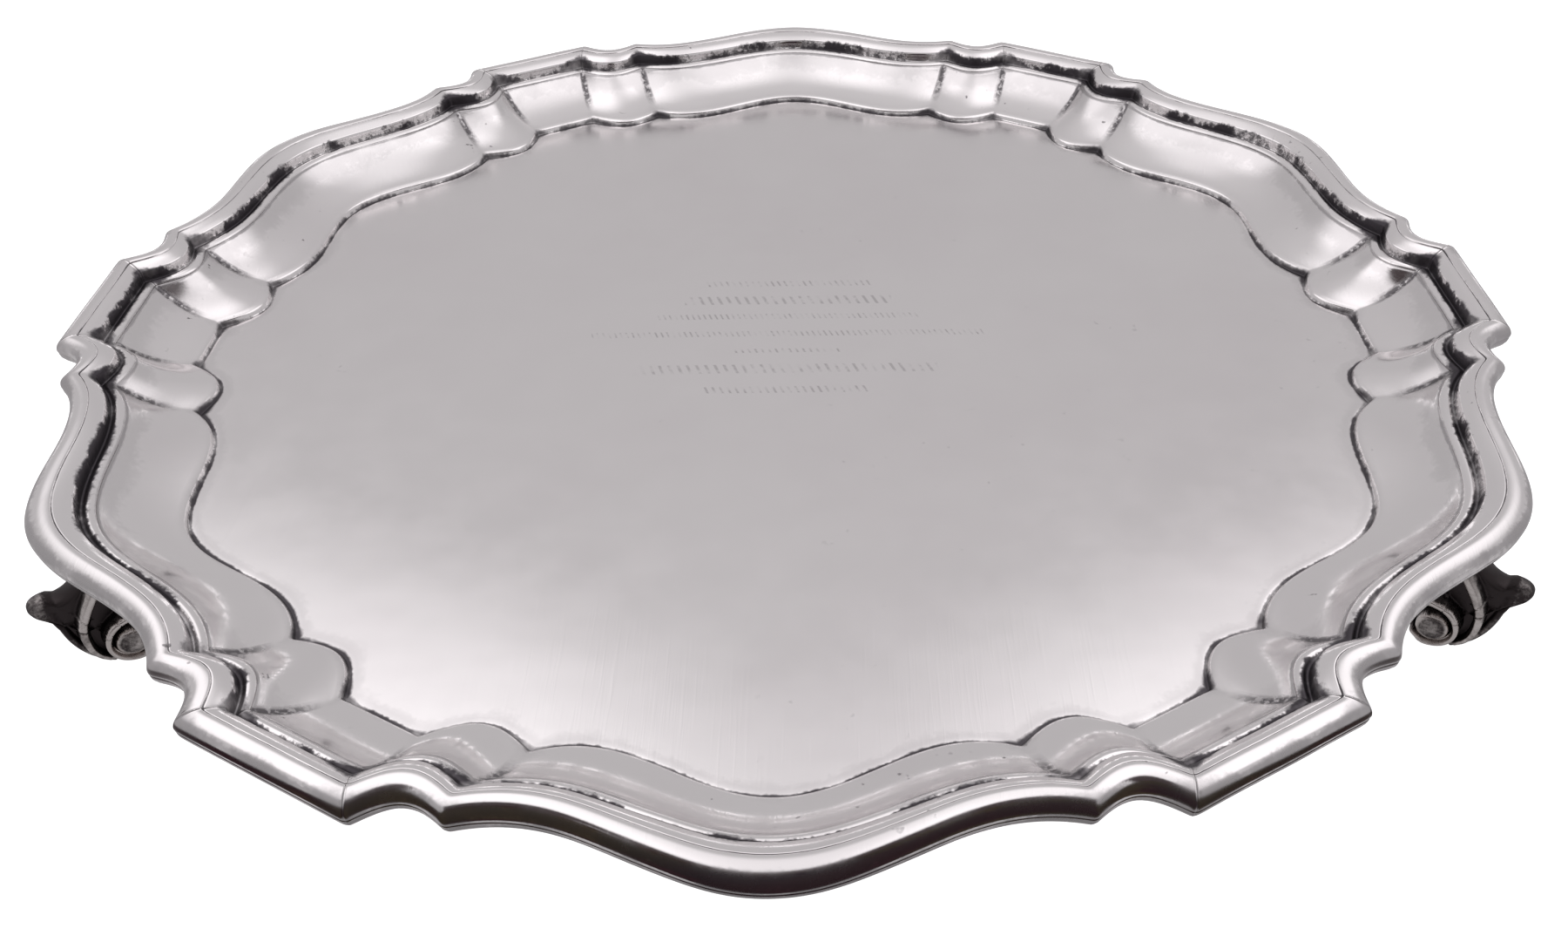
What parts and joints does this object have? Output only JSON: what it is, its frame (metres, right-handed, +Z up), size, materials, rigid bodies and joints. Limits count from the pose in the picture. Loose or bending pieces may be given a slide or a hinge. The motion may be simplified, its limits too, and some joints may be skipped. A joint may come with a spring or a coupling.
{
  "type": "footed salver",
  "caption": "Round silver salver with a flat plate, a raised moulded rim of ogee brackets and short straights, and cast scroll feet",
  "frame": {"origin": "On the table, under the middle of the plate. It is the middle of the footprint within 2 mm, because the nub of the foot on the +Y side reaches 3.4 mm past the rim.", "axes": "+Z up, from the feet to the plate's bright face. -Y runs through the middle of the bracket that faces the viewer, and one foot stands on the +Y side. +X to the viewer's right."},
  "size_m": [0.302, 0.3086, 0.0333],
  "materials": {
    "sheet_silver": "hammered and polished sterling silver sheet, softly worn, with fine scratches",
    "cast_border_silver": "polished cast sterling silver, with dark tarnish in the grooves",
    "oxidised_silver": "cast sterling silver, oxidised dark in the hollows and worn bright on the ridges"
  },
  "bodies": {
    "root": {"tray": "sheet_silver", "border_bracket_1": "cast_border_silver", "border_bracket_2": "cast_border_silver", "border_bracket_3": "cast_border_silver", "border_bracket_4": "cast_border_silver", "border_bracket_5": "cast_border_silver", "border_bracket_6": "cast_border_silver", "border_straight_1": "cast_border_silver", "border_straight_2": "cast_border_silver", "border_straight_3": "cast_border_silver", "border_straight_4": "cast_border_silver", "border_straight_5": "cast_border_silver", "border_straight_6": "cast_border_silver", "scroll_foot_1": "oxidised_silver", "scroll_foot_2": "oxidised_silver", "scroll_foot_3": "oxidised_silver"}
  },
  "joints": []
}
